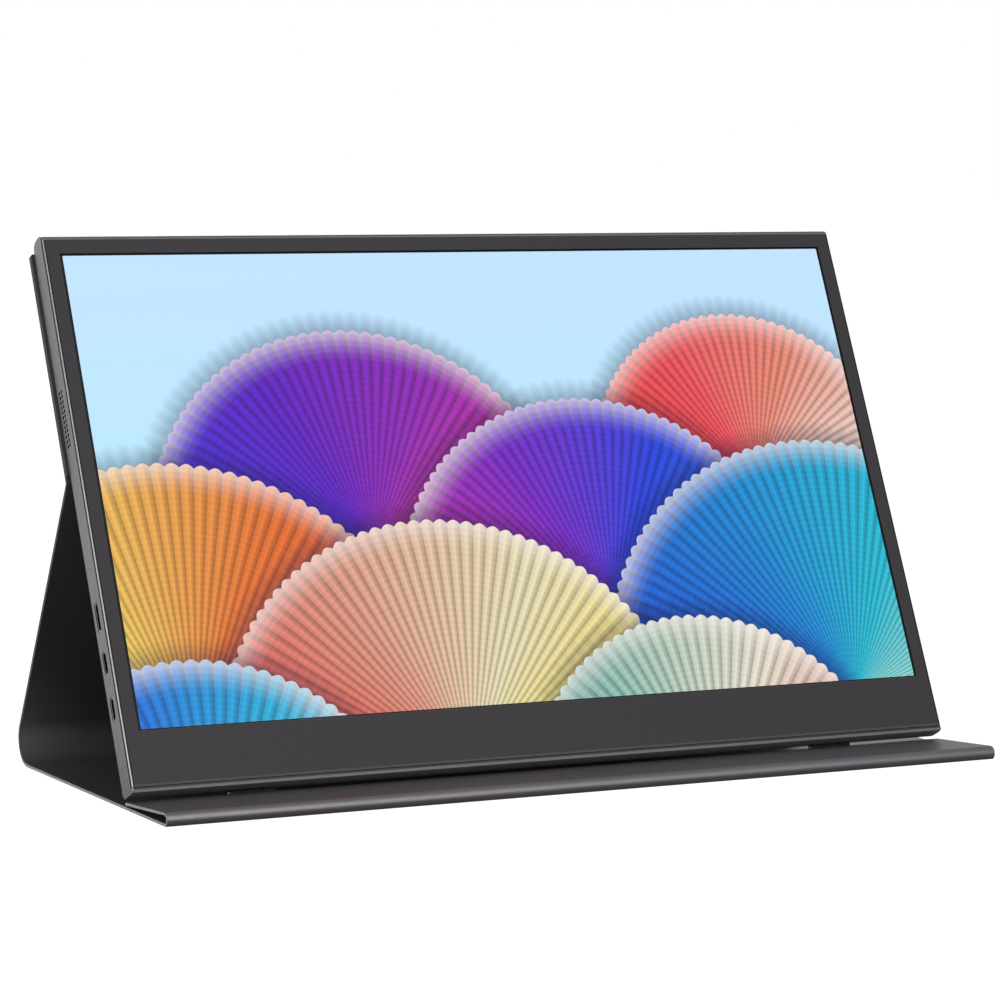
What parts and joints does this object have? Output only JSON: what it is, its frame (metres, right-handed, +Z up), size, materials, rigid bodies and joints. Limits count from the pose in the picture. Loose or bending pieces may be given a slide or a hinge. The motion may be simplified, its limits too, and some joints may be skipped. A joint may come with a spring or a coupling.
{
  "type": "portable monitor with folding cover",
  "caption": "Slim portable monitor on knuckle hinges, leaning on its own folding cover: base, front flap, leg and magnetic upper flap, with sockets on one side and keys on the other.",
  "frame": {"origin": "middle of the footprint's bounding box, on the table", "axes": "+X to the viewer's right along the hinge line, +Y to the back, +Z up"},
  "size_m": [0.3604, 0.1618, 0.2117],
  "materials": {
    "housing": "satin",
    "bezel": "fine matte",
    "screen": "gloss",
    "films": "diffusing",
    "light_guide": "clear",
    "circuit_board": "solder resist",
    "steel": "plain",
    "socket": "bright",
    "screws": "plain",
    "cable": "polyimide",
    "speaker": "matte",
    "keys": "satin",
    "hinge": "gloss black",
    "pin": "bright",
    "skin": "satin grained",
    "lining": "suede-like",
    "stiffener": "pressed fibre",
    "magnet": "nickel plated"
  },
  "bodies": {
    "base": {"base_skin": "skin", "base_board": "stiffener", "base_lining": "lining", "lip_fold": "skin", "rear_bend": "skin"},
    "front_flap": {"front_flap_skin": "skin", "front_flap_board": "stiffener", "front_flap_lining": "lining", "hinge_leaf_left": "hinge", "hinge_leaf_right": "hinge", "hinge_pin_left": "pin", "hinge_pin_right": "pin"},
    "monitor": {"rear_housing": "housing", "front_bezel": "bezel", "lcd_panel": "screen", "optical_films": "films", "light_guide": "light_guide", "led_bar": "films", "panel_frame": "steel", "main_board": "circuit_board", "side_board": "circuit_board", "board_screws": "screws", "panel_cable": "cable", "side_ribbon": "films", "hdmi_socket": "socket", "usb_c_upper": "socket", "usb_c_lower": "socket", "headphone_jack": "speaker", "speaker_left": "speaker", "speaker_right": "speaker", "key_switches": "speaker", "steel_strips": "steel", "hinge_bracket_left": "hinge", "hinge_bracket_right": "hinge", "bracket_screws": "screws"},
    "power_button": {"power_button": "keys"},
    "menu_rocker": {"menu_rocker": "keys"},
    "leg": {"leg_skin": "skin", "leg_board": "stiffener", "leg_lining": "lining", "middle_crease": "skin"},
    "upper_flap": {"upper_flap_skin": "skin", "upper_flap_board": "stiffener", "upper_flap_lining": "lining", "flap_magnets": "magnet"}
  },
  "joints": [
    {"name": "lip_fold", "type": "hinge", "parent": "base", "child": "front_flap", "pos_m": [0, -0.07815, 0.0024], "axis": [1, 0, 0], "range_deg": [0, 110], "deforming": ["lip_fold"]},
    {"name": "monitor_hinge", "type": "hinge", "parent": "front_flap", "child": "monitor", "pos_m": [0, -0.03675, 0.00275], "axis": [-1, 0, 0], "range_deg": [0, 22.5]},
    {"name": "leg_fold", "type": "hinge", "parent": "base", "child": "leg", "pos_m": [0, 0.07045, 0.0105], "axis": [-1, 0, 0], "range_deg": [0, 40.1], "deforming": ["rear_bend"]},
    {"name": "flap_fold", "type": "hinge", "parent": "leg", "child": "upper_flap", "pos_m": [0, 0.02329, 0.11731], "axis": [1, 0, 0], "range_deg": [0, 17.6], "deforming": ["middle_crease"]},
    {"name": "power_button_press", "type": "slide", "parent": "monitor", "child": "power_button", "axis": [-1, 0, 0], "range_m": [0, 0.0004], "stiffness_N_per_m": 800},
    {"name": "menu_rocker_tilt", "type": "hinge", "parent": "monitor", "child": "menu_rocker", "pos_m": [0.176, -0.01228, 0.05831], "axis": [0, 0.9063, -0.4226], "range_deg": [-2.5, 2.5], "stiffness_Nm_per_rad": 0.02}
  ],
  "couplings": [
    {"joint": "leg_fold", "follows": "monitor_hinge", "ratio": 1.7775},
    {"joint": "flap_fold", "follows": "monitor_hinge", "ratio": 0.7775}
  ]
}
